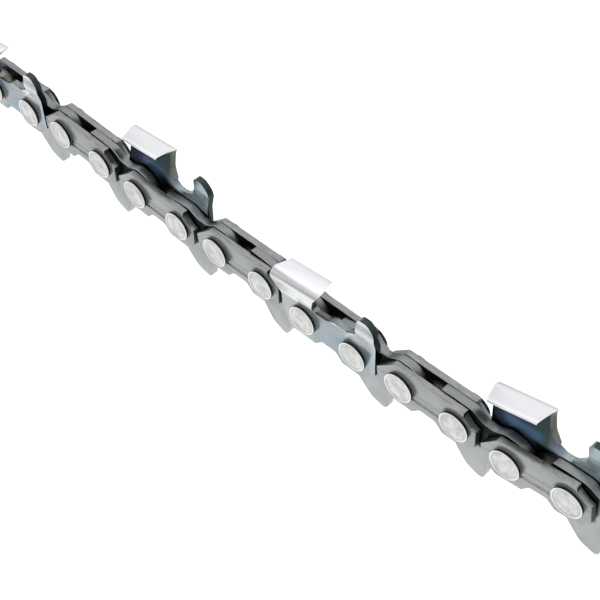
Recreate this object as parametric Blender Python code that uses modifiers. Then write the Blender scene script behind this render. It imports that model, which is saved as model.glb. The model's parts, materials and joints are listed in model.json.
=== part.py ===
"""An open run of ripping saw chain, cut from a reel.

Seven pairs of side plates and seven drive links follow each other along +X, the way the chain runs.
Each pair holds two rivets, staked into both plates. A drive link turns on a rivet at each of its ends.
Cutters stand up (+Z) on alternate sides and tangs point down. Left is +Y, seen along the run.
Units are metres and angles are degrees.
"""

import math

import bmesh
import bpy
from mathutils import Matrix, Vector

MM = 0.001

# Pitch: the hole spacing of the side plates and of the drive links
PLATE_SPACING = 9.91 * MM
DRIVE_SPACING = 8.73 * MM

# Across the chain
GAUGE = 1.30 * MM
RUNNING_CLEARANCE = 0.13 * MM
PLATE_THICKNESS = 1.10 * MM

# Rivets
HUB_RADIUS = 2.10 * MM
JOURNAL_RADIUS = 1.45 * MM
HEAD_RADIUS = 2.49 * MM
HEAD_NECK_RADIUS = 2.40 * MM
HEAD_HEIGHT = 0.65 * MM
HEAD_RIM = 0.30 * MM
HEAD_CHAMFER = 0.14 * MM
HUB_FIT = 0.07 * MM
STAKE_FIT = 0.04 * MM
ROUND_SIDES = 20

# Side plates, seen from the side
REAR_REACH = 4.38 * MM
END_GAP = 1.00 * MM
PLATE_TOP = 3.30 * MM
TOP_REAR = 1.55 * MM
TOP_FRONT = 1.15 * MM
REAR_SHOULDER = 0.85 * MM
FRONT_STEP = 2.55 * MM
FRONT_SHOULDER = 0.95 * MM
FOOT_DEPTH = 3.85 * MM
STRAP_TOE = 2.10 * MM
ARCH_HEIGHT = 2.45 * MM
ARCH_REAR = 2.20 * MM
ARCH_FRONT = 2.30 * MM
ARCH_SLOPE = 1.30 * MM

# The channel pressed into the outer face of a tie strap
CHANNEL_DEPTH = 0.20 * MM
CHANNEL_CENTRE = -0.60 * MM
CHANNEL_WIDTH = 1.80 * MM
CHANNEL_FLOOR = 1.20 * MM

# Drive links
DRIVE_REAR_REACH = 4.05 * MM
DRIVE_FRONT_RADIUS = 3.45 * MM
DRIVE_TOP = 3.45 * MM
DRIVE_WAIST = 2.40 * MM
TANG_DEPTH = 9.60 * MM
TANG_TIP = 4.85 * MM
TANG_TIP_ROUND = 0.85 * MM
TANG_HEEL = 6.20 * MM
TANG_HEEL_X = -0.40 * MM
TANG_HEEL_ROUND = 4.00 * MM
TANG_BELLY = 8.80 * MM
TANG_BELLY_X = 1.90 * MM
TANG_BELLY_ROUND = 3.00 * MM
HOOK_HEIGHT = 6.00 * MM
HOOK_X = 5.20 * MM
SHOULDER_X = 1.60 * MM
SHOULDER_ROUND = 2.00 * MM
WAIST_LENGTH = 1.80 * MM

# Cutters: the blank is folded outward along a crease, then over at the corner
CUTTER_REAR_REACH = 4.55 * MM
CUTTER_REAR_BULGE = 0.40 * MM
CUTTER_END_GAP = 0.36 * MM
CUTTER_TOE = 1.45 * MM
CUTTER_HEIGHT = 9.45 * MM
CUTTING_TIP = 4.75 * MM
CREASE_HEIGHT = 3.30 * MM
CREASE_FALL = 6.5
SIDE_LEAN = 20.0
CORNER_RADIUS = 1.15 * MM
TOP_PLATE_WIDTH = 3.98 * MM
TOP_PLATE_TILT = 7.0
TOP_PLATE_REAR_SWEEP = 0.30 * MM
TOP_EDGE_THINNING = 0.50
CORNER_STEPS = 6

# The depth gauge stands in front of the gullet and leans back in above its own crease
GAUGE_REAR = 10.40 * MM
GAUGE_TOP = 8.60 * MM
GAUGE_TOP_LENGTH = 2.10 * MM
GAUGE_SHOULDER = 7.30 * MM
GAUGE_SHOULDER_ROUND = 2.00 * MM
GAUGE_CREASE = 6.20 * MM
GAUGE_LEAN = 13.0
GAUGE_TOP_LEAN = -4.0

# The gullet and the round-filed cutting edge, at the ripping chain's shallow angle
GULLET_FLOOR = 3.75 * MM
GULLET_RISE = 1.30 * MM
FILING_ANGLE = 10.0
# The cutters were ground by hand: the right-hand ones are swept back, the left-hand ones are not
SIDE_EDGE = {
    "right": (
        (3.35 * MM, 7.30 * MM, 0.6 * MM),
        (1.75 * MM, 2.85 * MM, 0.7 * MM),
        (4.80 * MM, 3.05 * MM, 2.0 * MM),
    ),
    "left": (
        (4.05 * MM, 7.90 * MM, 1.0 * MM),
        (4.70 * MM, 5.90 * MM, 1.5 * MM),
        (5.95 * MM, 4.50 * MM, 1.0 * MM),
    ),
}

# The run as it lies: the slope of each link, side plates and drive links in turn
LINK_SLOPES = (0.0, 2.3, -2.5, -7.1, -1.9, 2.3, 0.8, -7.3, 0.4, 3.6, 1.7, -1.1, 9.0, 2.0)
CUTTER_SIDES = ("right", None, "left", None, "right", None, "left")

WELD = 1e-7
ARC_STEP = 18.0
CUT_MARGIN = 1.0 * MM

INNER_FACE = GAUGE / 2 + RUNNING_CLEARANCE
OUTER_FACE = INNER_FACE + PLATE_THICKNESS
STRAP_FRONT_REACH = DRIVE_SPACING - REAR_REACH - END_GAP
CUTTER_FRONT_REACH = DRIVE_SPACING - REAR_REACH - CUTTER_END_GAP
BLANK_NOSE = CUTTING_TIP + CUT_MARGIN


def clear_scene():
    """Empty the file that the script runs in."""
    for old in list(bpy.data.objects):
        bpy.data.objects.remove(old, do_unlink=True)


def new_collection(name):
    """Add a collection to the scene."""
    collection = bpy.data.collections.new(name)
    bpy.context.scene.collection.children.link(collection)
    return collection


def steel(name, colour, roughness):
    """A metal with the colour and polish of one kind of piece."""
    material = bpy.data.materials.new(name)
    material.use_nodes = True
    shader = material.node_tree.nodes["Principled BSDF"]
    shader.inputs["Base Color"].default_value = (*colour, 1.0)
    shader.inputs["Metallic"].default_value = 1.0
    shader.inputs["Roughness"].default_value = roughness
    material.diffuse_color = (*colour, 1.0)
    return material


def arc(centre, radius, start, end):
    """Points on an arc, from one angle to another in degrees, both ends included."""
    steps = max(1, math.ceil(abs(end - start) / ARC_STEP))
    angles = [math.radians(start + (end - start) * k / steps) for k in range(steps + 1)]
    return [(centre[0] + radius * math.cos(a), centre[1] + radius * math.sin(a)) for a in angles]


def rounded(corners):
    """An outline through corners (x, z, radius), with an arc in place of each corner that has a radius."""
    points = []
    for index, (x, z, radius) in enumerate(corners):
        corner = Vector((x, z))
        if radius == 0:
            points.append((x, z))
            continue
        before = (Vector(corners[index - 1][:2]) - corner).normalized()
        after = (Vector(corners[(index + 1) % len(corners)][:2]) - corner).normalized()
        half = before.angle(after) / 2
        middle = corner + (before + after).normalized() * radius / math.sin(half)
        first = corner + before * radius / math.tan(half) - middle
        last = corner + after * radius / math.tan(half) - middle
        start = math.degrees(math.atan2(first.y, first.x))
        turn = math.degrees(math.atan2(last.y, last.x)) - start
        turn = (turn + 180.0) % 360.0 - 180.0
        points += arc(middle, radius, start, start + turn)
    return points


def circle(x, radius):
    """A round hole on the line of the rivets."""
    angles = [2 * math.pi * k / ROUND_SIDES for k in range(ROUND_SIDES)]
    return [(x + radius * math.cos(a), radius * math.sin(a)) for a in angles]


def plate_mesh(name, loops, thickness, centre):
    """A flat plate in the XZ plane: the first loop is its outline and the others are holes."""
    curve = bpy.data.curves.new(name, "CURVE")
    curve.dimensions = "2D"
    curve.fill_mode = "BOTH"
    curve.extrude = thickness / 2
    for loop in loops:
        spline = curve.splines.new("POLY")
        spline.points.add(len(loop) - 1)
        spline.use_cyclic_u = True
        for point, (x, z) in zip(spline.points, loop):
            point.co = (x, z, 0.0, 1.0)
    flat = bpy.data.objects.new(name, curve)
    bpy.context.scene.collection.objects.link(flat)
    depsgraph = bpy.context.evaluated_depsgraph_get()
    mesh = bpy.data.meshes.new_from_object(flat.evaluated_get(depsgraph))
    bpy.data.objects.remove(flat)
    bpy.data.curves.remove(curve)
    mesh.name = name
    mesh.transform(Matrix.Translation((0, centre, 0)) @ Matrix.Rotation(math.pi / 2, 4, "X"))
    shape = bmesh.new()
    shape.from_mesh(mesh)
    bmesh.ops.remove_doubles(shape, verts=shape.verts, dist=WELD)
    bmesh.ops.recalc_face_normals(shape, faces=shape.faces)
    shape.to_mesh(mesh)
    shape.free()
    return mesh


def mirrored(mesh, name):
    """The same piece for the other side of the chain."""
    other = mesh.copy()
    other.name = name
    other.transform(Matrix.Scale(-1, 4, (0, 1, 0)))
    other.flip_normals()
    return other


def finish_mesh(mesh, material):
    """Smooth the round faces and give the mesh its metal."""
    mesh.materials.clear()
    mesh.materials.append(material)
    mesh.shade_smooth()
    mesh.set_sharp_from_angle(angle=math.radians(30.0))


def cut_mesh(mesh, tool_mesh, name, cutters):
    """The mesh with the tool's shape taken out of it. The tool stays in the file as a wire guide."""
    body = bpy.data.objects.new(name, mesh)
    tool = bpy.data.objects.new(name + "_tool", tool_mesh)
    tool.hide_render = True
    tool.display_type = "WIRE"
    bpy.context.scene.collection.objects.link(body)
    cutters.objects.link(tool)
    boolean = body.modifiers.new("cut", "BOOLEAN")
    boolean.operation = "DIFFERENCE"
    boolean.solver = "EXACT"
    boolean.object = tool
    depsgraph = bpy.context.evaluated_depsgraph_get()
    result = bpy.data.meshes.new_from_object(body.evaluated_get(depsgraph))
    result.name = name
    bpy.data.objects.remove(body)
    return result


def lower_edge(rear_reach, front_reach, toe):
    """The feet and the arch between them, from the rear end to the front end."""
    foot_angle = math.degrees(math.asin(FOOT_DEPTH / rear_reach))
    front = PLATE_SPACING + front_reach
    points = arc((0, 0), rear_reach, 180.0, 180.0 + foot_angle)
    feet = rounded([
        (-rear_reach, -FOOT_DEPTH, 0),
        (ARCH_REAR, -FOOT_DEPTH, 0.2 * MM),
        (ARCH_REAR + ARCH_SLOPE, -ARCH_HEIGHT, 1.0 * MM),
        (PLATE_SPACING - ARCH_FRONT - ARCH_SLOPE, -ARCH_HEIGHT, 1.0 * MM),
        (PLATE_SPACING - ARCH_FRONT, -FOOT_DEPTH, 0.8 * MM),
        (front + toe - FOOT_DEPTH, -FOOT_DEPTH, 1.0 * MM),
        (front, -toe, 0),
    ])
    return points + feet[1:]


def rivet_holes():
    """The two holes that the rivets are staked into."""
    radius = JOURNAL_RADIUS + STAKE_FIT
    return [circle(0.0, radius), circle(PLATE_SPACING, radius)]


def strap_mesh(cutters):
    """A right-hand tie strap, with its channel in the outer face."""
    front = PLATE_SPACING + STRAP_FRONT_REACH
    upper = rounded([
        (front, -STRAP_TOE, 0),
        (front, FRONT_SHOULDER, 0.15 * MM),
        (PLATE_SPACING + TOP_FRONT + 1.5 * MM, FRONT_SHOULDER + 0.2 * MM, 1.2 * MM),
        (PLATE_SPACING + TOP_FRONT, FRONT_STEP, 0.2 * MM),
        (PLATE_SPACING + TOP_FRONT, PLATE_TOP, 0.1 * MM),
        (-TOP_REAR, PLATE_TOP, 0.3 * MM),
        (-REAR_REACH, REAR_SHOULDER, 0.15 * MM),
        (-REAR_REACH, 0, 0),
    ])
    outline = lower_edge(REAR_REACH, STRAP_FRONT_REACH, STRAP_TOE) + upper[1:-1]
    middle = -(INNER_FACE + OUTER_FACE) / 2
    plate = plate_mesh("tie_strap_blank", [outline] + rivet_holes(), PLATE_THICKNESS, middle)
    return cut_mesh(plate, channel_mesh(), "tie_strap_right", cutters)


def channel_mesh():
    """The press tool of the channel: it runs from rivet to rivet and widens outward."""
    top = CHANNEL_WIDTH / 2
    floor = CHANNEL_FLOOR / 2
    depth = CHANNEL_DEPTH
    section = [(-depth, top), (-depth, -top), (depth, -floor), (depth, floor)]
    length = PLATE_SPACING - 2 * (JOURNAL_RADIUS + STAKE_FIT) - 0.4 * MM
    shape = bmesh.new()
    near = [shape.verts.new((-length / 2, y, z)) for y, z in section]
    far = [shape.verts.new((length / 2, y, z)) for y, z in section]
    edges = [shape.edges.new((ring[k], ring[k - 1])) for ring in (near, far) for k in range(4)]
    bmesh.ops.bridge_loops(shape, edges=edges)
    bmesh.ops.holes_fill(shape, edges=shape.edges, sides=4)
    bmesh.ops.recalc_face_normals(shape, faces=shape.faces)
    mesh = bpy.data.meshes.new("channel_tool")
    shape.to_mesh(mesh)
    shape.free()
    mesh.transform(Matrix.Translation((PLATE_SPACING / 2, -OUTER_FACE, CHANNEL_CENTRE)))
    return mesh


def drive_link_mesh():
    """A drive link: a square-shouldered rear end, a waist, a round front end and a hooked tang below."""
    middle = DRIVE_SPACING / 2
    rear = arc((0, 0), DRIVE_REAR_REACH, 180.0, 245.0)
    front = arc((DRIVE_SPACING, 0), DRIVE_FRONT_RADIUS, -100.0, 80.0)
    tang = rounded([
        (*rear[-1], 0),
        (TANG_HEEL_X, -TANG_HEEL, TANG_HEEL_ROUND),
        (TANG_BELLY_X, -TANG_BELLY, TANG_BELLY_ROUND),
        (TANG_TIP, -TANG_DEPTH, TANG_TIP_ROUND),
        (HOOK_X, -HOOK_HEIGHT - 1.2 * MM, 0.8 * MM),
        (HOOK_X - 0.3 * MM, -HOOK_HEIGHT + 1.0 * MM, 1.2 * MM),
        (*front[0], 0),
    ])
    top = rounded([
        (*front[-1], 0),
        (DRIVE_SPACING - SHOULDER_X, DRIVE_TOP, SHOULDER_ROUND),
        (middle + WAIST_LENGTH / 2, DRIVE_WAIST, WAIST_LENGTH),
        (middle - WAIST_LENGTH / 2, DRIVE_WAIST, WAIST_LENGTH),
        (SHOULDER_X, DRIVE_TOP, SHOULDER_ROUND),
        (-SHOULDER_X, DRIVE_TOP - 0.05 * MM, 0),
        (-DRIVE_REAR_REACH, DRIVE_TOP - 0.25 * MM, 0.4 * MM),
        (*rear[0], 0),
    ])
    radius = HUB_RADIUS + HUB_FIT
    outline = rear + tang[1:-1] + front + top[1:-1]
    holes = [circle(0.0, radius), circle(DRIVE_SPACING, radius)]
    return plate_mesh("drive_link", [outline] + holes, GAUGE, 0.0)


def rivet_mesh():
    """A rivet turned about its own axis: the hub in the middle, a journal and a spun head at each end."""
    seat = OUTER_FACE + STAKE_FIT
    top = OUTER_FACE + HEAD_HEIGHT
    hub = INNER_FACE - STAKE_FIT
    half = [
        (0.0, top),
        (HEAD_RADIUS - HEAD_CHAMFER, top),
        (HEAD_RADIUS, top - HEAD_CHAMFER),
        (HEAD_RADIUS, top - HEAD_RIM),
        (HEAD_NECK_RADIUS, seat),
        (JOURNAL_RADIUS, seat),
        (JOURNAL_RADIUS, hub),
        (HUB_RADIUS, hub),
    ]
    profile = half + [(r, -z) for r, z in reversed(half)]
    mesh = bpy.data.meshes.new("rivet_profile")
    edges = [(k, k + 1) for k in range(len(profile) - 1)]
    mesh.from_pydata([(r, 0.0, z) for r, z in profile], edges, [])
    turned = bpy.data.objects.new("rivet_profile", mesh)
    bpy.context.scene.collection.objects.link(turned)
    screw = turned.modifiers.new("turn", "SCREW")
    screw.axis = "Z"
    screw.steps = ROUND_SIDES
    screw.render_steps = ROUND_SIDES
    screw.use_merge_vertices = True
    screw.merge_threshold = WELD
    depsgraph = bpy.context.evaluated_depsgraph_get()
    result = bpy.data.meshes.new_from_object(turned.evaluated_get(depsgraph))
    bpy.data.objects.remove(turned)
    bpy.data.meshes.remove(mesh)
    result.name = "rivet"
    result.transform(Matrix.Rotation(math.pi / 2, 4, "X"))
    return result


def crease_at(x):
    """The height of the cutter's crease, which falls toward the rear with the top plate."""
    return CREASE_HEIGHT + (x - CUTTING_TIP) * math.tan(math.radians(CREASE_FALL))


def lean_length():
    """The straight stretch of the cutter's side, from the crease to the start of the corner."""
    lean = math.radians(SIDE_LEAN)
    rise = CUTTER_HEIGHT - CREASE_HEIGHT - CORNER_RADIUS * (1 + math.sin(lean))
    return rise / math.cos(lean)


def corner_turn():
    """How far the corner turns: the top plate rises a little toward the outside."""
    return math.radians(90.0 + SIDE_LEAN + TOP_PLATE_TILT)


def corner_length():
    """The developed length of the corner, along the outer face."""
    return CORNER_RADIUS * corner_turn()


def top_flat():
    """The length of the top plate inside the corner."""
    tilt = math.radians(TOP_PLATE_TILT)
    return (TOP_PLATE_WIDTH - CORNER_RADIUS * (1 + math.sin(tilt))) / math.cos(tilt)


def fold_tooth(x, inward, height):
    """Where a point of the flat blank lies on the folded tooth: how far out of the plate, and how high."""
    lean = math.radians(SIDE_LEAN)
    crease = crease_at(x)
    along = height - crease
    straight = lean_length()
    if abs(along) < WELD:
        return -inward, crease + inward * math.tan(lean / 2)
    if along < 0:
        return -inward, height
    if along <= straight:
        out = along * math.sin(lean) - inward * math.cos(lean)
        up = along * math.cos(lean) + inward * math.sin(lean)
        return out, crease + up
    centre_out = straight * math.sin(lean) - CORNER_RADIUS * math.cos(lean)
    centre_up = straight * math.cos(lean) + CORNER_RADIUS * math.sin(lean)
    bent = along - straight
    past = max(0.0, bent - corner_length())
    tilt = math.radians(TOP_PLATE_TILT)
    angle = min(bent / CORNER_RADIUS, corner_turn()) - lean
    thinning = TOP_EDGE_THINNING * bent / (corner_length() + top_flat())
    radius = CORNER_RADIUS - inward * (1 - thinning)
    out = centre_out + radius * math.cos(angle) - past * math.cos(tilt)
    up = centre_up + radius * math.sin(angle) - past * math.sin(tilt)
    return out, crease + up


def fold_gauge(x, inward, height):
    """The same for the depth gauge: a slight outward lean, then back in above its own crease."""
    lower = math.tan(math.radians(GAUGE_LEAN))
    upper = math.tan(math.radians(GAUGE_TOP_LEAN))
    rise = max(0.0, min(height, GAUGE_CREASE) - crease_at(x))
    out = rise * lower + max(0.0, height - GAUGE_CREASE) * upper
    return out - inward, height


def cutter_blank():
    """The flat outline of a cutter, before it is folded."""
    front = PLATE_SPACING + CUTTER_FRONT_REACH
    top = CREASE_HEIGHT + lean_length() + corner_length() + top_flat()
    fall = (CUTTING_TIP + CUTTER_REAR_REACH) * math.tan(math.radians(CREASE_FALL))
    upper = rounded([
        (front, -CUTTER_TOE, 0),
        (front, GAUGE_SHOULDER, GAUGE_SHOULDER_ROUND),
        (GAUGE_REAR + GAUGE_TOP_LENGTH, GAUGE_TOP, 1.1 * MM),
        (GAUGE_REAR + 0.3 * MM, GAUGE_TOP, 0.8 * MM),
        (GAUGE_REAR, GULLET_FLOOR + GULLET_RISE, 0.8 * MM),
        (GAUGE_REAR - 1.9 * MM, GULLET_FLOOR, 1.5 * MM),
        (GAUGE_REAR - 3.4 * MM, GULLET_FLOOR, 0.8 * MM),
        (BLANK_NOSE, GULLET_FLOOR + 0.4 * MM, 0),
        (BLANK_NOSE, top, 0),
        (TOP_PLATE_REAR_SWEEP - CUTTER_REAR_REACH, top - fall, 0),
        (-CUTTER_REAR_REACH - CUTTER_REAR_BULGE, top - fall - top_flat(), 1.0 * MM),
        (-CUTTER_REAR_REACH - CUTTER_REAR_BULGE, PLATE_TOP + 1.6 * MM, 2.0 * MM),
        (-CUTTER_REAR_REACH, 1.8 * MM, 1.0 * MM),
        (-CUTTER_REAR_REACH, 0, 0),
    ])
    return lower_edge(CUTTER_REAR_REACH, CUTTER_FRONT_REACH, CUTTER_TOE) + upper[1:-1]


def divide(shape, point, normal, limit):
    """Split the faces behind a limit in x where a plane crosses them."""
    faces = [face for face in shape.faces if face.calc_center_median().x < limit]
    edges = {edge for face in faces for edge in face.edges}
    verts = {vert for face in faces for vert in face.verts}
    bmesh.ops.bisect_plane(shape, geom=[*faces, *edges, *verts], dist=WELD, plane_co=point, plane_no=normal)


def fold_cutter(mesh):
    """Divide the blank along its bend lines and fold it."""
    shape = bmesh.new()
    shape.from_mesh(mesh)
    front = PLATE_SPACING + CUTTER_FRONT_REACH
    slope = math.radians(CREASE_FALL)
    normal = Vector((-math.sin(slope), 0, math.cos(slope)))
    divide(shape, Vector((BLANK_NOSE, 0, 0)), Vector((1, 0, 0)), front)
    divide(shape, Vector((CUTTING_TIP, 0, CREASE_HEIGHT)), normal, front)
    divide(shape, Vector((0, 0, GAUGE_CREASE)), Vector((0, 0, 1)), front)
    for step in range(CORNER_STEPS + 1):
        bend = CREASE_HEIGHT + lean_length() + corner_length() * step / CORNER_STEPS
        divide(shape, Vector((CUTTING_TIP, 0, bend)), normal, BLANK_NOSE)
    bmesh.ops.triangulate(shape, faces=shape.faces)
    for vertex in shape.verts:
        x, y, z = vertex.co
        inward = y + OUTER_FACE
        out, up = fold_tooth(x, inward, z) if x < BLANK_NOSE + WELD else fold_gauge(x, inward, z)
        vertex.co = (x, -OUTER_FACE - out, up)
    bmesh.ops.recalc_face_normals(shape, faces=shape.faces)
    shape.to_mesh(mesh)
    shape.free()


def file_tool(side):
    """The path of the round file: under the top plate, down the side edge and along the gullet."""
    above = CUTTER_HEIGHT + 1.0 * MM
    nose = BLANK_NOSE + 3.0 * MM
    hook_x, hook_z = SIDE_EDGE[side][0][:2]
    overhang = (CUTTING_TIP - hook_x) * (above - CUTTER_HEIGHT) / (CUTTER_HEIGHT - hook_z)
    outline = rounded([
        (nose, above, 0),
        (CUTTING_TIP + overhang, above, 0),
        *SIDE_EDGE[side],
        (BLANK_NOSE + 0.9 * MM, GULLET_FLOOR + 0.45 * MM, 0),
        (nose, GULLET_FLOOR + 1.2 * MM, 0),
    ])
    mesh = plate_mesh("round_file_" + side, [outline], 4 * CUTTER_HEIGHT, 0.0)
    corner = OUTER_FACE + lean_length() * math.sin(math.radians(SIDE_LEAN))
    pivot = Matrix.Translation((CUTTING_TIP, -corner, 0))
    turn = Matrix.Rotation(math.radians(FILING_ANGLE), 4, "Z")
    mesh.transform(pivot @ turn @ pivot.inverted())
    return mesh


def cutter_mesh(side, cutters):
    """A cutter. It is worked out on the right and mirrored for the left."""
    blank = plate_mesh("cutter_blank", [cutter_blank()] + rivet_holes(), PLATE_THICKNESS,
                       -(INNER_FACE + OUTER_FACE) / 2)
    fold_cutter(blank)
    name = side + "_cutter"
    tooth = cut_mesh(blank, file_tool(side), name, cutters)
    return tooth if side == "right" else mirrored(tooth, name)


def place(name, mesh, parent, x, collection):
    """One named piece, carried by its link's empty."""
    piece = bpy.data.objects.new(name, mesh)
    piece.parent = parent
    piece.location = (x, 0, 0)
    collection.objects.link(piece)
    return piece


def link_empty(name, parent, x, bend, collection):
    """The empty of one link, on the axis of the rivet that it turns on."""
    empty = bpy.data.objects.new(name, None)
    empty.empty_display_size = HEAD_RADIUS
    empty.parent = parent
    empty.location = (x, 0, 0)
    empty.rotation_euler = (0, math.radians(bend), 0)
    collection.objects.link(empty)
    return empty


def set_down(root, pieces):
    """Move the run so that the centre of its base is at the origin."""
    bpy.context.view_layer.update()
    corners = [piece.matrix_world @ vertex.co for piece in pieces for vertex in piece.data.vertices]
    low = [min(corner[axis] for corner in corners) for axis in range(3)]
    high = [max(corner[axis] for corner in corners) for axis in range(3)]
    root.location = (-(low[0] + high[0]) / 2, -(low[1] + high[1]) / 2, -low[2])
    bpy.context.view_layer.update()


def build_chain():
    """Make each kind of piece once and lay the run out, link by link."""
    clear_scene()
    chain = new_collection("ripping_saw_chain")
    cutters = new_collection("cutting_tools")
    meshes = {
        "strap_right": strap_mesh(cutters),
        "drive_link": drive_link_mesh(),
        "rivet": rivet_mesh(),
        "cutter_right": cutter_mesh("right", cutters),
        "cutter_left": cutter_mesh("left", cutters),
    }
    meshes["strap_left"] = mirrored(meshes["strap_right"], "tie_strap_left")
    metals = {
        "strap": steel("tie_strap_steel", (0.42, 0.43, 0.44), 0.45),
        "drive": steel("drive_link_steel", (0.38, 0.40, 0.39), 0.50),
        "rivet": steel("rivet_steel", (0.75, 0.75, 0.73), 0.35),
        "cutter": steel("cutter_steel", (0.55, 0.60, 0.64), 0.25),
    }
    for key, mesh in meshes.items():
        finish_mesh(mesh, metals[key.split("_")[0]])

    pieces = []
    parent = None
    reach = 0.0
    slope = 0.0
    for number, cutter_side in enumerate(CUTTER_SIDES, start=1):
        pair_slope, drive_slope = LINK_SLOPES[2 * number - 2:2 * number]
        pair = link_empty(f"pair_{number}", parent, reach, slope - pair_slope, chain)
        for side in ("right", "left"):
            kind = "cutter" if side == cutter_side else "strap"
            name = f"{side}_{'cutter' if kind == 'cutter' else 'tie_strap'}_{number}"
            pieces.append(place(name, meshes[f"{kind}_{side}"], pair, 0.0, chain))
        pieces.append(place(f"rear_rivet_{number}", meshes["rivet"], pair, 0.0, chain))
        pieces.append(place(f"front_rivet_{number}", meshes["rivet"], pair, PLATE_SPACING, chain))
        drive = link_empty(f"drive_{number}", pair, PLATE_SPACING, pair_slope - drive_slope, chain)
        pieces.append(place(f"drive_link_{number}", meshes["drive_link"], drive, 0.0, chain))
        parent, reach, slope = drive, DRIVE_SPACING, drive_slope
    set_down(bpy.data.objects["pair_1"], pieces)


build_chain()
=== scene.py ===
"""The looks of the ripping saw chain: its metals, its finely turned rivets, and a pale studio."""

import json
import math

import bmesh
import bpy
from mathutils import Matrix, Vector


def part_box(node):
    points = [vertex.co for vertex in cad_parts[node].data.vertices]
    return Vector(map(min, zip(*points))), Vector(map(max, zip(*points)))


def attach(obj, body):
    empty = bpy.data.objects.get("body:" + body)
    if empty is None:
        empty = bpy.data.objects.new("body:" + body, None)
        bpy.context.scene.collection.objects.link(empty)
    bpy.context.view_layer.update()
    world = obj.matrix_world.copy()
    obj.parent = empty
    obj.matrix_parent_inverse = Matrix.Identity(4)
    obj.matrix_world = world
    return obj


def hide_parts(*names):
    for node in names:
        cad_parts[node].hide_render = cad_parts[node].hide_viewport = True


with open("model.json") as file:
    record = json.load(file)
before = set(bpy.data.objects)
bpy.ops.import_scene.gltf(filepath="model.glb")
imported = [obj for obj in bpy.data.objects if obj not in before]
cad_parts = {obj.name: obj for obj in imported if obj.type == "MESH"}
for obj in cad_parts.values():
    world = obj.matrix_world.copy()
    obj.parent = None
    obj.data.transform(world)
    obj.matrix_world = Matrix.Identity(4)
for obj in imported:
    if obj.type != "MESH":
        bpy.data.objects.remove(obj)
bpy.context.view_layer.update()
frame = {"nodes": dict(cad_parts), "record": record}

MM = 0.001

# The camera, found by fitting a pinhole to the rivets, straps and tangs of the photograph
CAMERA_FROM_FIRST_RIVET = Vector((160.4, -85.535, 138.3)) * MM
CAMERA_FORWARD = Vector((-0.476, 0.459, -0.751))
CAMERA_UP = Vector((-0.515, 0.547, 0.660))
FOCAL_PIXELS = 1266.0
PICTURE_PIXELS = 600.0
SENSOR_WIDTH = 36.0

# The sheets of the studio: heights in millimetres, and how far each reaches from its middle in metres
FLOOR_HEIGHT = -60.0
REFLECTED_HEIGHT = -0.1
SHEET_REACH = 1.5

# The floor's matte white, and the glow that lifts it to full white for the camera
FLOOR_COLOUR = (0.8, 0.8, 0.8)
FLOOR_ROUGHNESS = 0.9
FLOOR_GLOW = 0.38

# The brightness of the reflected sheet runs along Y between these places, in millimetres
REFLECTED_NEAR = -50.0
REFLECTED_FAR = 60.0

# The sky in front of the chain passes into the sky behind it between these parts of a direction along Y
SKY_NEAR = -0.25
SKY_FAR = 0.15

# The soft boxes: where each stands and its width in metres, and its energy in watts
SOFT_BOXES = {
    "overhead_box": ((-0.10, 0.12, 0.30), 0.30, 0.10),
    "front_box": ((0.16, -0.22, 0.20), 0.18, 0.08),
}

# Rivets, as in the solids, in millimetres: radii, and distances from the middle of the chain
HUB_RADIUS = 2.10
JOURNAL_RADIUS = 1.45
HEAD_RADIUS = 2.49
HEAD_NECK_RADIUS = 2.40
HUB_END = 0.74
HEAD_SEAT = 1.92
HEAD_TOP = 2.53

# What the scene adds to a rivet: a spun rim, in millimetres, and a rounder outline
RIM_WIDTH = 0.26
RIM_HEIGHT = 0.09
RIVET_SIDES = 64

# How far the stamped and ground edges of each kind of plate are broken, in metres, and in how many steps
EDGE_BREAK = {"cutter": 0.06 * MM, "tie_strap": 0.11 * MM, "drive_link": 0.10 * MM}
BREAK_STEPS = 2

# Points closer than this, in metres, are one, and faces that bend less than this, in degrees, are one
WELD = 1e-7
FLAT_ANGLE = 0.5

# Edges that bend more than this, in degrees, are broken on the plates and crisp on the rivets
EDGE_ANGLE = 28.0

# Folds are crisp from this bend, in degrees, up to this height over the rivets, in millimetres,
# and between faces whose normals lie across the chain by more than this
FOLD_ANGLE = 12.0
FOLDS_BELOW = 6.6
UPRIGHT = 0.85

# The last drive link has plates on its rear end alone. Places along a link are in millimetres
LAST_LINK = "drive_link_7"
LAST_COVER = 3.2
LINK_END = 13.0
COVER_BLUR = 0.6

# Every solid's points are also kept in its own link's frame, in millimetres
LINK_PLACE = "link_place"

# The colour sockets of Blender's mix node, and where a new stop of a ramp starts
MIX_FIRST = 6
MIX_SECOND = 7
MIX_RESULT = 2
NEW_STOP = 0.5

# The bright faces of a cutter are partly satin, so that they stay pale where the studio is dark
SATIN_METALLIC = 0.35

WHITE = (1.0, 1.0, 1.0)


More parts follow.
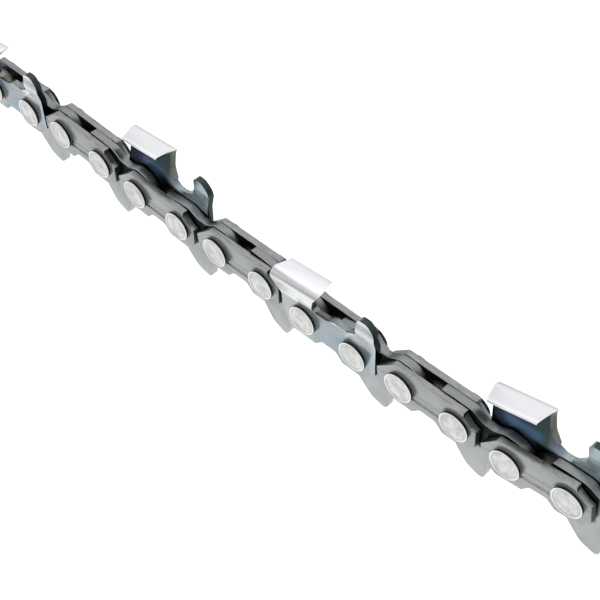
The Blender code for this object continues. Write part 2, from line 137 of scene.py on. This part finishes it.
class Nodes:
    """The shading nodes of a material or of the world."""

    def __init__(self, owner):
        owner.use_nodes = True
        self.nodes = owner.node_tree.nodes
        self.links = owner.node_tree.links

    def fill(self, socket, value):
        """Give an input a value, or join it to an output."""
        if isinstance(value, bpy.types.NodeSocket):
            self.links.new(value, socket)
        elif isinstance(value, tuple):
            socket.default_value = (*value, 1.0)
        else:
            socket.default_value = value

    def coordinates(self, kind):
        """Coordinates of the kind that is named."""
        return self.nodes.new("ShaderNodeTexCoord").outputs[kind]

    def parts(self, vector):
        """The three parts of a vector."""
        node = self.nodes.new("ShaderNodeSeparateXYZ")
        self.links.new(vector, node.inputs[0])
        return node.outputs[0], node.outputs[1], node.outputs[2]

    def calculate(self, operation, *values):
        """A number worked out from others."""
        node = self.nodes.new("ShaderNodeMath")
        node.operation = operation
        for socket, value in zip(node.inputs, values):
            self.fill(socket, value)
        return node.outputs[0]

    def step(self, value, start, end, low=0.0, high=1.0, curve="SMOOTHSTEP"):
        """A step from low to high as the value goes from start to end."""
        node = self.nodes.new("ShaderNodeMapRange")
        node.interpolation_type = curve
        self.fill(node.inputs["Value"], value)
        node.inputs["From Min"].default_value = start
        node.inputs["From Max"].default_value = end
        node.inputs["To Min"].default_value = low
        node.inputs["To Max"].default_value = high
        return node.outputs[0]

    def ramp(self, value, *stops):
        """Colours along a value, from pairs of a place and a colour."""
        node = self.nodes.new("ShaderNodeValToRGB")
        elements = node.color_ramp.elements
        while len(elements) < len(stops):
            elements.new(NEW_STOP)
        for element, (place, colour) in zip(elements, stops):
            element.position = place
            element.color = (*colour, 1.0)
        self.links.new(value, node.inputs["Fac"])
        return node.outputs["Color"]

    def mix(self, share, first, second):
        """Two colours, mixed by a share."""
        node = self.nodes.new("ShaderNodeMix")
        node.data_type = "RGBA"
        self.fill(node.inputs[0], share)
        self.fill(node.inputs[MIX_FIRST], first)
        self.fill(node.inputs[MIX_SECOND], second)
        return node.outputs[MIX_RESULT]

    def shaders(self, kind, *inputs):
        """A shader made from others."""
        node = self.nodes.new(kind)
        for socket, value in zip(node.inputs, inputs):
            self.links.new(value, socket)
        return node.outputs[0]

    def rays(self, kind):
        """Where the ray is of the kind that is named."""
        return self.nodes.new("ShaderNodeLightPath").outputs[kind]


class Metal(Nodes):
    """A procedural metal. Places are in a link's frame, in millimetres, and normals are those at rest."""

    def __init__(self, name, roughness, metallic=1.0):
        self.material = bpy.data.materials.new(name)
        super().__init__(self.material)
        self.shader = self.nodes["Principled BSDF"]
        self.shader.inputs["Metallic"].default_value = metallic
        self.shader.inputs["Roughness"].default_value = roughness
        self.rest = self.coordinates("Object")
        self.nx, self.ny, self.nz = self.parts(self.coordinates("Normal"))
        place = self.nodes.new("ShaderNodeAttribute")
        place.attribute_name = LINK_PLACE
        self.x, self.y, self.z = self.parts(place.outputs["Vector"])

    def both(self, *masks):
        """Where every one of the masks holds."""
        share = masks[0]
        for mask in masks[1:]:
            share = self.calculate("MULTIPLY", share, mask)
        return share

    def weaker(self, mask, strength):
        """A mask at part of its strength."""
        return self.calculate("MULTIPLY", mask, strength)

    def unsigned(self, value):
        """A number without its sign."""
        return self.calculate("ABSOLUTE", value)

    def outward(self):
        """How squarely a plate's surface faces away from the middle of the chain."""
        return self.calculate("MULTIPLY", self.ny, self.calculate("SIGN", self.y))

    def noise(self, grain, detail=3.0, roughness=0.55):
        """Noise whose grain is given in millimetres along X, Y and Z of the chain at rest."""
        mapping = self.nodes.new("ShaderNodeMapping")
        mapping.inputs["Scale"].default_value = [1.0 / (MM * size) for size in grain]
        self.links.new(self.rest, mapping.inputs["Vector"])
        texture = self.nodes.new("ShaderNodeTexNoise")
        texture.inputs["Scale"].default_value = 1.0
        texture.inputs["Detail"].default_value = detail
        texture.inputs["Roughness"].default_value = roughness
        self.links.new(mapping.outputs[0], texture.inputs["Vector"])
        return texture.outputs["Fac"]

    def colour(self, value):
        """The metal's own colour."""
        self.fill(self.shader.inputs["Base Color"], value)

    def gloss(self, value):
        """The metal's roughness."""
        self.fill(self.shader.inputs["Roughness"], value)

    def relief(self, value, depth):
        """Fine relief, with its depth in millimetres."""
        node = self.nodes.new("ShaderNodeBump")
        node.inputs["Distance"].default_value = depth * MM
        self.links.new(value, node.inputs["Height"])
        self.links.new(node.outputs["Normal"], self.shader.inputs["Normal"])


def chrome_outside(metal, clouds, flare):
    """The outer faces of a cutter: cloudy blue and pale at the rear, with painted highlights where they bend
    or lean: the flare, the rounded corner and the gauge.
    """
    plate = metal.ramp(
        clouds,
        (0.34, (0.29, 0.39, 0.47)),
        (0.50, (0.36, 0.42, 0.455)),
        (0.64, (0.40, 0.42, 0.47)),
    )
    plate = metal.mix(metal.step(metal.x, 3.5, 0.0), plate, (0.50, 0.53, 0.53))
    # Painted reflection on the rounded corner: its colour runs in light and dark bands by how far the face
    # tips up
    corner = metal.both(metal.step(metal.z, 6.4, 7.2), metal.step(metal.x, 7.0, 6.0))
    plate = metal.mix(corner, plate, metal.ramp(
        metal.nz,
        (0.00, (0.85, 0.86, 0.87)),
        (0.22, (0.48, 0.49, 0.50)),
        (0.42, (0.50, 0.51, 0.52)),
        (0.55, (0.76, 0.76, 0.78)),
        (0.85, (0.66, 0.67, 0.68)),
    ))
    # Painted reflection: the outward flare below the tooth is near white
    plate = metal.mix(flare, plate, (0.98, 0.99, 1.0))
    plate = metal.mix(metal.step(metal.x, 9.5, 13.0, 0.0, 0.7), plate, (0.44, 0.49, 0.49))
    front_foot = metal.both(metal.step(metal.x, 12.9, 13.5), metal.step(metal.z, 5.6, 5.0))
    plate = metal.mix(metal.weaker(front_foot, 0.5), plate, (0.50, 0.66, 0.72))
    # Painted highlights on the gauge: bright bands at its crease and its crown, greyer between
    gauge = metal.both(metal.step(metal.x, 10.0, 10.4), metal.step(metal.z, 5.6, 6.2))
    return metal.mix(gauge, plate, metal.ramp(
        metal.step(metal.z, 5.8, 8.6),
        (0.00, (0.90, 0.91, 0.92)),
        (0.22, (0.66, 0.68, 0.70)),
        (0.50, (0.48, 0.50, 0.52)),
        (0.80, (0.55, 0.57, 0.59)),
        (1.00, (0.92, 0.93, 0.94)),
    ))


def chrome_inside(metal):
    """The inner faces of a cutter: painted shade, dark, bluer in a band along the rear, paler in front, and
    near black low down.
    """
    # Painted shade on the faces that look toward the middle of the chain
    inside = metal.ramp(
        metal.step(metal.x, -3.5, 12.0),
        (0.00, (0.055, 0.05, 0.09)),
        (0.25, (0.042, 0.065, 0.080)),
        (0.50, (0.055, 0.085, 0.085)),
        (0.90, (0.48, 0.58, 0.62)),
    )
    band = metal.both(
        metal.step(metal.z, 5.4, 4.6),
        metal.step(metal.z, 3.4, 4.2),
        metal.step(metal.x, 4.5, 2.5),
    )
    inside = metal.mix(metal.weaker(band, 0.7), inside, (0.08, 0.155, 0.25))
    # Painted shade: near black low down, between the plates
    return metal.mix(metal.step(metal.z, 3.6, 2.6), inside, (0.010, 0.018, 0.018))


def chrome_filed(metal):
    """The filed edge of a cutter: cream at the rear, then olive, then blue, with strokes across it."""
    filed = metal.ramp(
        metal.step(metal.x, 1.0, 10.5),
        (0.00, (0.40, 0.38, 0.32)),
        (0.07, (0.12, 0.12, 0.09)),
        (0.38, (0.16, 0.165, 0.15)),
        (0.55, (0.16, 0.18, 0.28)),
        (0.75, (0.33, 0.39, 0.40)),
    )
    right_hand = metal.both(metal.step(metal.y, 0.3, -0.3), metal.step(metal.x, 4.8, 6.0))
    filed = metal.mix(right_hand, filed, (0.24, 0.27, 0.29))
    strokes = metal.noise((0.05, 3.0, 0.6), 3.0, 0.6)
    return metal.mix(metal.step(strokes, 0.35, 0.65, 0.0, 0.3), filed, (0.10, 0.10, 0.08))


def chrome():
    """Bright plate on a cutter, with painted shade on its inner faces and on the front of its gauge, its
    filed edge, and a painted highlight on its top.
    """
    metal = Metal("cutter_chrome", 0.22)
    outward = metal.outward()
    clouds = metal.noise((6.0, 3.0, 2.4), 2.0)
    flare = metal.both(
        metal.step(metal.nz, -0.04, -0.14),
        metal.step(outward, 0.4, 0.6),
        metal.step(metal.z, 2.4, 3.2),
    )
    outside = chrome_outside(metal, clouds, flare)
    shade = metal.mix(metal.step(outward, -0.25, -0.6), outside, chrome_inside(metal))
    edge_on = metal.step(metal.unsigned(metal.ny), 0.72, 0.55)
    gauge_edge = metal.both(edge_on, metal.step(metal.x, 10.4, 11.4))
    # Painted shade: the edge faces at the front of the gauge are near black
    shade = metal.mix(metal.weaker(gauge_edge, 0.97), shade, (0.014, 0.026, 0.026))
    filed_edge = metal.both(
        edge_on,
        metal.step(metal.x, 0.8, 1.4),
        metal.step(metal.x, 11.2, 10.4),
        metal.step(metal.z, 2.4, 2.9),
        metal.step(metal.z, 9.0, 8.6),
    )
    shade = metal.mix(filed_edge, shade, chrome_filed(metal))
    top = metal.both(
        metal.step(metal.z, 6.5, 7.5),
        metal.step(metal.nz, 0.80, 0.93),
        metal.step(metal.x, 7.0, 6.0),
    )
    # Painted highlight: the top plate is near white, less bright on the far-side cutters
    bright = metal.mix(metal.step(clouds, 0.4, 0.6), (0.84, 0.85, 0.88), (0.87, 0.87, 0.89))
    bright = metal.mix(metal.step(metal.y, -0.3, 0.3), bright, (0.70, 0.71, 0.73))
    metal.colour(metal.mix(top, shade, bright))
    face = metal.step(outward, 0.3, 0.6, 0.0, 0.55)
    satin = metal.calculate("MAXIMUM", metal.calculate("MAXIMUM", top, flare), face)
    metallic = metal.step(satin, 0.0, 1.0, 1.0, SATIN_METALLIC)
    metal.fill(metal.shader.inputs["Metallic"], metallic)
    marks = metal.noise((4.0, 0.8, 0.35), 2.0, 0.5)
    metal.gloss(metal.step(marks, 0.3, 0.7, 0.24, 0.31))
    metal.relief(marks, 0.001)
    return metal.material


def strap_steel():
    """Satin grey steel with fine streaks, a thin line of painted shade along the groove, and painted shade
    on its inner faces and its ends.
    """
    metal = Metal("tie_strap_steel", 0.38, 0.75)
    outward = metal.outward()
    clouds = metal.noise((5.0, 2.0, 1.6), 3.0)
    face = metal.ramp(
        clouds,
        (0.32, (0.40, 0.44, 0.43)),
        (0.52, (0.46, 0.48, 0.47)),
        (0.68, (0.47, 0.46, 0.48)),
    )
    streaks = metal.noise((2.5, 0.10, 0.08), 4.0, 0.7)
    face = metal.mix(metal.step(streaks, 0.36, 0.62, 0.35, 0.0), face, (0.26, 0.28, 0.28))
    # Painted shade: a thin dark line along the outer faces at the groove's upper edge
    groove_shade = metal.both(
        metal.step(metal.z, 0.14, 0.22),
        metal.step(metal.z, 0.40, 0.32),
        metal.step(outward, 0.6, 0.8),
    )
    face = metal.mix(metal.weaker(groove_shade, 0.6), face, (0.10, 0.11, 0.11))
    top = metal.mix(metal.step(streaks, 0.38, 0.62), (0.18, 0.18, 0.19), (0.35, 0.35, 0.36))
    shade = metal.mix(metal.step(metal.nz, 0.5, 0.8), face, top)
    # Painted shade: the end faces, between the pairs, are near black
    ends = metal.step(metal.unsigned(metal.nx), 0.55, 0.75)
    shade = metal.mix(metal.weaker(ends, 0.9), shade, (0.05, 0.062, 0.056))
    # Painted shade: the inner faces are near black
    shade = metal.mix(metal.step(outward, -0.3, -0.6), shade, (0.012, 0.018, 0.016))
    metal.colour(shade)
    metal.gloss(metal.step(streaks, 0.3, 0.7, 0.28, 0.44))
    metal.relief(streaks, 0.005)
    return metal.material


def edge_wear_and_shade(name, dull, shiny):
    """The rubbed edge of a stamped plate, with painted shade on the side that faces the middle of the chain.
    """
    metal = Metal(name, 0.3)
    rub = metal.noise((1.2, 0.4, 0.4), 3.0)
    bright = metal.ramp(rub, (0.35, dull), (0.62, shiny))
    # Painted shade: near black on the inner side
    metal.colour(metal.mix(metal.step(metal.outward(), 0.15, -0.1), bright, (0.03, 0.04, 0.035)))
    metal.gloss(metal.step(rub, 0.3, 0.7, 0.36, 0.24))
    return metal.material


def drive_steel(name, bare_from):
    """Smooth grey steel, with painted shade between the plates as far as they reach along the link: near
    black on the sides, dark on the upper edges, mid grey on the top.
    """
    metal = Metal(name, 0.42)
    clouds = metal.noise((3.5, 2.0, 3.5), 2.0)
    face = metal.ramp(clouds, (0.34, (0.42, 0.46, 0.45)), (0.66, (0.50, 0.52, 0.51)))
    grain = metal.noise((0.14, 0.14, 0.14), 3.0)
    face = metal.mix(metal.step(grain, 0.35, 0.65, 0.14, 0.0), face, (0.28, 0.30, 0.29))
    # Painted shade in the slot between the plates: dark on the edges, mid grey on the top
    slot_shade = metal.mix(metal.step(metal.nz, 0.75, 1.0), (0.06, 0.07, 0.07), (0.24, 0.25, 0.25))
    covered = metal.step(metal.x, bare_from + COVER_BLUR, bare_from)
    face = metal.mix(metal.both(metal.step(metal.z, -1.0, 1.0), covered), face, slot_shade)
    # Painted shade: the sides between the plates are near black
    between = metal.both(
        metal.step(metal.unsigned(metal.ny), 0.3, 0.6),
        metal.step(metal.z, -3.4, -2.4),
        covered,
    )
    metal.colour(metal.mix(between, face, (0.015, 0.022, 0.020)))
    metal.gloss(metal.step(grain, 0.3, 0.7, 0.34, 0.48))
    metal.relief(grain, 0.003)
    return metal.material


def rivet_steel():
    """Bright spun steel: a polished rim, a faint ring inside it, and small pits and smudges."""
    metal = Metal("rivet_steel", 0.34)
    squares = [metal.calculate("MULTIPLY", part, part) for part in (metal.x, metal.z)]
    radius = metal.calculate("SQRT", metal.calculate("ADD", *squares))
    smudge = metal.noise((1.3, 1.3, 1.3), 3.0)
    pits = metal.noise((0.16, 0.16, 0.16), 3.0, 0.6)
    face = metal.ramp(smudge, (0.34, (0.58, 0.59, 0.57)), (0.62, (0.80, 0.80, 0.78)))
    face = metal.mix(metal.step(pits, 0.42, 0.30, 0.0, 0.6), face, (0.35, 0.36, 0.35))
    ring = metal.both(metal.step(radius, 1.95, 2.10), metal.step(radius, 2.26, 2.18))
    face = metal.mix(metal.weaker(ring, 0.35), face, (0.50, 0.52, 0.50))
    rim = metal.step(radius, 2.20, 2.28)
    metal.colour(metal.mix(rim, face, (0.93, 0.93, 0.92)))
    metal.gloss(metal.step(smudge, 0.3, 0.7, 0.40, 0.26))
    metal.relief(pits, 0.008)
    return metal.material


def rivet_shadow():
    """Painted shade on the side of a rivet head under its spun rim, near black, and the grey neck below it.
    """
    metal = Metal("rivet_side_shade", 0.45)
    film = metal.noise((0.5, 0.5, 0.5), 2.0)
    # Painted shade: the side wall of the head is near black
    black = metal.ramp(film, (0.35, (0.010, 0.016, 0.016)), (0.70, (0.035, 0.045, 0.045)))
    neck = metal.step(metal.unsigned(metal.y), 2.08, 2.01)
    metal.colour(metal.mix(neck, black, (0.30, 0.32, 0.31)))
    return metal.material


def kind_of(node):
    """Which of the four kinds of piece a node is."""
    for kind in EDGE_BREAK:
        if kind in node:
            return kind
    return "rivet"


def middle_of(node):
    """The centre of a node's box."""
    low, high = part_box(node)
    return (Vector(low) + Vector(high)) / 2


def link_frame(start, toward):
    """A frame at one rivet with its X axis along the link."""
    along = toward - start
    along.y = 0.0
    along.normalize()
    across = Vector((0.0, 1.0, 0.0))
    turn = Matrix((along, across, along.cross(across))).transposed().to_4x4()
    return Matrix.Translation(start) @ turn


def frame_of(body):
    """The link frame of a body: a pair from its rear rivet, a drive link from the rivet behind it."""
    kind, number = body.split("_")
    front = middle_of("front_rivet_" + number)
    if kind == "pair":
        return link_frame(middle_of("rear_rivet_" + number), front)
    following = "rear_rivet_" + str(int(number) + 1)
    if following in frame["nodes"]:
        return link_frame(front, middle_of(following))
    end = next(mount for mount in frame["record"]["mounts"] if mount["name"] == "open_end_face")
    return link_frame(front, Vector(end["pos_m"]))


def keep_link_place(mesh, place):
    """Write where each point lies in its link's frame, in millimetres."""
    inverse = place.inverted()
    kept = mesh.attributes.new(LINK_PLACE, "FLOAT_VECTOR", "POINT")
    for vertex, value in zip(mesh.vertices, kept.data):
        value.vector = inverse @ vertex.co / MM


def add_piece(name, mesh):
    """A new object of the scene."""
    piece = bpy.data.objects.new(name, mesh)
    bpy.context.scene.collection.objects.link(piece)
    return piece


def mark_folds(shape, place):
    """Keep the folds between upright faces crisp, as far up as the rounded corner."""
    inverse = place.inverted()
    for edge in shape.edges:
        height = (inverse @ ((edge.verts[0].co + edge.verts[1].co) / 2)).z
        upright = all(abs(face.normal.y) > UPRIGHT for face in edge.link_faces)
        if upright and height < FOLDS_BELOW * MM:
            edge.smooth = edge.calc_face_angle() < math.radians(FOLD_ANGLE)


def dressed(node, place, materials, width):
    """A copy of a solid with its edges broken, standing for the solid."""
    mesh = frame["nodes"][node].data.copy()
    mesh.name = "dressed_" + node
    shape = bmesh.new()
    shape.from_mesh(mesh)
    bmesh.ops.remove_doubles(shape, verts=shape.verts, dist=WELD)
    flat = math.radians(FLAT_ANGLE)
    bmesh.ops.dissolve_limit(shape, angle_limit=flat, verts=shape.verts, edges=shape.edges)
    for face in shape.faces:
        face.smooth = True
        face.material_index = 0
    mark_folds(shape, place)
    shape.to_mesh(mesh)
    shape.free()
    mesh.materials.clear()
    for material in materials:
        mesh.materials.append(material)
    keep_link_place(mesh, place)
    piece = add_piece("dressed_" + node, mesh)
    bevel = piece.modifiers.new("edges", "BEVEL")
    bevel.width = width
    bevel.segments = BREAK_STEPS
    bevel.limit_method = "ANGLE"
    bevel.angle_limit = math.radians(EDGE_ANGLE)
    bevel.harden_normals = True
    bevel.material = len(materials) - 1
    return piece


def rivet_half():
    """Radii and heights of half a rivet, from its head inward, and how many are on the bright face."""
    floor = HEAD_TOP - RIM_HEIGHT
    rim = HEAD_RADIUS - RIM_WIDTH
    bright = [
        (0.0, floor - 0.02),
        (0.25, floor - 0.015),
        (0.45, floor + 0.01),
        (rim - 0.45, floor + 0.03),
        (rim - 0.10, floor - 0.02),
        (rim + 0.02, floor + 0.05),
        (rim + 0.09, HEAD_TOP),
        (HEAD_RADIUS - 0.08, HEAD_TOP),
    ]
    dark = [
        (HEAD_RADIUS - 0.02, HEAD_TOP - 0.04),
        (HEAD_RADIUS, HEAD_TOP - 0.12),
        (HEAD_RADIUS - 0.02, HEAD_TOP - 0.24),
        (HEAD_NECK_RADIUS, HEAD_SEAT),
        (JOURNAL_RADIUS, HEAD_SEAT),
        (JOURNAL_RADIUS, HUB_END),
        (HUB_RADIUS, HUB_END),
    ]
    return bright + dark, len(bright)


def turned_rivet(name, place, face, side):
    """A rivet turned on a lathe: a raised bright rim round a faintly dished head."""
    half, first_dark = rivet_half()
    profile = half + [(radius, -height) for radius, height in reversed(half)]
    angles = [2 * math.pi * k / RIVET_SIDES for k in range(RIVET_SIDES)]
    shape = bmesh.new()
    rings = []
    for radius, height in profile:
        if radius == 0.0:
            rings.append([shape.verts.new((0.0, height * MM, 0.0))] * RIVET_SIDES)
        else:
            rings.append([
                shape.verts.new((radius * MM * math.cos(a), height * MM, radius * MM * math.sin(a)))
                for a in angles
            ])
    for index, (ring, following) in enumerate(zip(rings, rings[1:])):
        depth = min(index, len(rings) - 2 - index)
        for k in range(RIVET_SIDES):
            after = (k + 1) % RIVET_SIDES
            corners = dict.fromkeys([ring[k], ring[after], following[after], following[k]])
            polygon = shape.faces.new(list(corners))
            polygon.smooth = True
            polygon.material_index = int(depth >= first_dark)
    bmesh.ops.recalc_face_normals(shape, faces=shape.faces)
    mesh = bpy.data.meshes.new(name)
    shape.to_mesh(mesh)
    shape.free()
    mesh.transform(place)
    mesh.set_sharp_from_angle(angle=math.radians(EDGE_ANGLE))
    mesh.materials.append(face)
    mesh.materials.append(side)
    keep_link_place(mesh, place)
    return add_piece(name, mesh)


def dress_chain():
    """Give every node its metal, break the edges, and put the turned rivets in."""
    cutter = chrome()
    burnished = edge_wear_and_shade("burnished_edge", (0.30, 0.31, 0.31), (0.50, 0.51, 0.50))
    # Painted highlight: the cutters' broken edges are pale, as bright lines
    highlit_edge = edge_wear_and_shade("painted_edge_highlight", (0.55, 0.60, 0.63), (0.78, 0.80, 0.81))
    metals = {
        "cutter": (cutter, highlit_edge),
        "tie_strap": (strap_steel(), burnished),
        "drive_link": (drive_steel("drive_link_steel", LINK_END), burnished),
    }
    last_metals = (drive_steel("open_end_steel", LAST_COVER), burnished)
    face = rivet_steel()
    side = rivet_shadow()
    for body, nodes in frame["record"]["behaviour"]["bodies"].items():
        place = frame_of(body)
        for name in nodes:
            kind = kind_of(name)
            if kind == "rivet":
                centred = place.copy()
                centred.translation = middle_of(name)
                piece = turned_rivet("turned_" + name, centred, face, side)
            else:
                chosen = last_metals if name == LAST_LINK else metals[kind]
                piece = dressed(name, place, chosen, EDGE_BREAK[kind])
            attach(piece, body)
            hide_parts(name)


def set_camera():
    """The photograph's view."""
    camera = bpy.data.cameras.new("photo_view")
    camera.sensor_width = SENSOR_WIDTH
    camera.lens = FOCAL_PIXELS / PICTURE_PIXELS * SENSOR_WIDTH
    camera.clip_start = MM
    forward = CAMERA_FORWARD.normalized()
    right = forward.cross(CAMERA_UP).normalized()
    up = right.cross(forward)
    holder = bpy.data.objects.new("photo_view", camera)
    place = Matrix.Translation(middle_of("rear_rivet_1") + CAMERA_FROM_FIRST_RIVET)
    holder.matrix_world = place @ Matrix((right, up, -forward)).transposed().to_4x4()
    bpy.context.scene.collection.objects.link(holder)
    bpy.context.scene.camera = holder


def soft_box(name, place, width, energy):
    """A square lamp that faces the chain."""
    lamp = bpy.data.lights.new(name, "AREA")
    lamp.shape = "SQUARE"
    lamp.size = width
    lamp.energy = energy
    holder = bpy.data.objects.new(name, lamp)
    holder.location = place
    holder.rotation_euler = (-Vector(place)).to_track_quat("-Z", "Y").to_euler()
    bpy.context.scene.collection.objects.link(holder)


def stage_sheet(name, height):
    """A wide level sheet of the studio, and its material."""
    mesh = bpy.data.meshes.new(name)
    shape = bmesh.new()
    bmesh.ops.create_grid(shape, x_segments=1, y_segments=1, size=SHEET_REACH)
    shape.to_mesh(mesh)
    shape.free()
    sheet = add_piece(name, mesh)
    sheet.location = (0, 0, height * MM)
    material = bpy.data.materials.new(name)
    mesh.materials.append(material)
    return Nodes(material)


def set_floor():
    """A white floor, low enough for the chain to bend down at its joints' limits."""
    floor = stage_sheet("floor", FLOOR_HEIGHT)
    matte = floor.nodes["Principled BSDF"]
    floor.fill(matte.inputs["Base Color"], FLOOR_COLOUR)
    matte.inputs["Roughness"].default_value = FLOOR_ROUGHNESS
    matte.inputs["Specular IOR Level"].default_value = 0.0
    glow = floor.nodes.new("ShaderNodeEmission")
    glow.inputs["Strength"].default_value = FLOOR_GLOW
    white = floor.shaders("ShaderNodeAddShader", matte.outputs[0], glow.outputs[0])
    camera_rays = floor.rays("Is Camera Ray")
    surface = floor.shaders("ShaderNodeMixShader", camera_rays, matte.outputs[0], white)
    floor.fill(floor.nodes["Material Output"].inputs["Surface"], surface)


def set_reflected_sheet():
    """A lit sheet close under the chain, which shows in the metal alone and is brightest behind it."""
    sheet = stage_sheet("reflected_sheet", REFLECTED_HEIGHT)
    across = sheet.parts(sheet.coordinates("Object"))[1]
    brightness = sheet.ramp(
        sheet.step(across, REFLECTED_NEAR * MM, REFLECTED_FAR * MM, curve="LINEAR"),
        (0.00, (0.80, 0.82, 0.84)),
        (0.21, (0.88, 0.89, 0.90)),
        (0.36, (0.98, 0.98, 0.98)),
        (0.44, (1.08, 1.08, 1.08)),
        (0.59, (1.15, 1.15, 1.15)),
        (0.73, (0.82, 0.83, 0.84)),
        (1.00, (0.75, 0.76, 0.78)),
    )
    lit = sheet.nodes.new("ShaderNodeEmission")
    sheet.fill(lit.inputs["Color"], brightness)
    clear = sheet.nodes.new("ShaderNodeBsdfTransparent")
    glossy_rays = sheet.rays("Is Glossy Ray")
    surface = sheet.shaders("ShaderNodeMixShader", glossy_rays, clear.outputs[0], lit.outputs[0])
    sheet.fill(sheet.nodes["Material Output"].inputs["Surface"], surface)


def set_world():
    """A sky that is bright overhead and greyer lower down, and plain white where the camera sees it."""
    world = bpy.data.worlds.new("studio")
    bpy.context.scene.world = world
    sky = Nodes(world)
    _, along_y, up = sky.parts(sky.coordinates("Generated"))
    height = sky.step(up, 0.0, 1.0, curve="LINEAR")
    behind = sky.ramp(
        height,
        (0.00, (0.55, 0.56, 0.58)),
        (0.10, (0.75, 0.75, 0.76)),
        (0.30, (1.05, 1.05, 1.05)),
        (1.00, (1.05, 1.05, 1.05)),
    )
    in_front = sky.ramp(
        height,
        (0.00, (0.80, 0.81, 0.83)),
        (0.12, (0.58, 0.59, 0.60)),
        (0.34, (0.50, 0.51, 0.52)),
        (0.54, (0.85, 0.85, 0.86)),
        (0.80, (1.05, 1.05, 1.05)),
    )
    around = sky.mix(sky.step(along_y, SKY_NEAR, SKY_FAR, curve="LINEAR"), in_front, behind)
    seen = sky.mix(sky.rays("Is Camera Ray"), around, WHITE)
    sky.fill(sky.nodes["Background"].inputs["Color"], seen)


def set_studio():
    """The floor, the reflected sheet, the world and the soft boxes."""
    bpy.context.scene.view_settings.view_transform = "Standard"
    set_floor()
    set_reflected_sheet()
    set_world()
    for name, (place, width, energy) in SOFT_BOXES.items():
        soft_box(name, place, width, energy)


set_camera()
dress_chain()
set_studio()
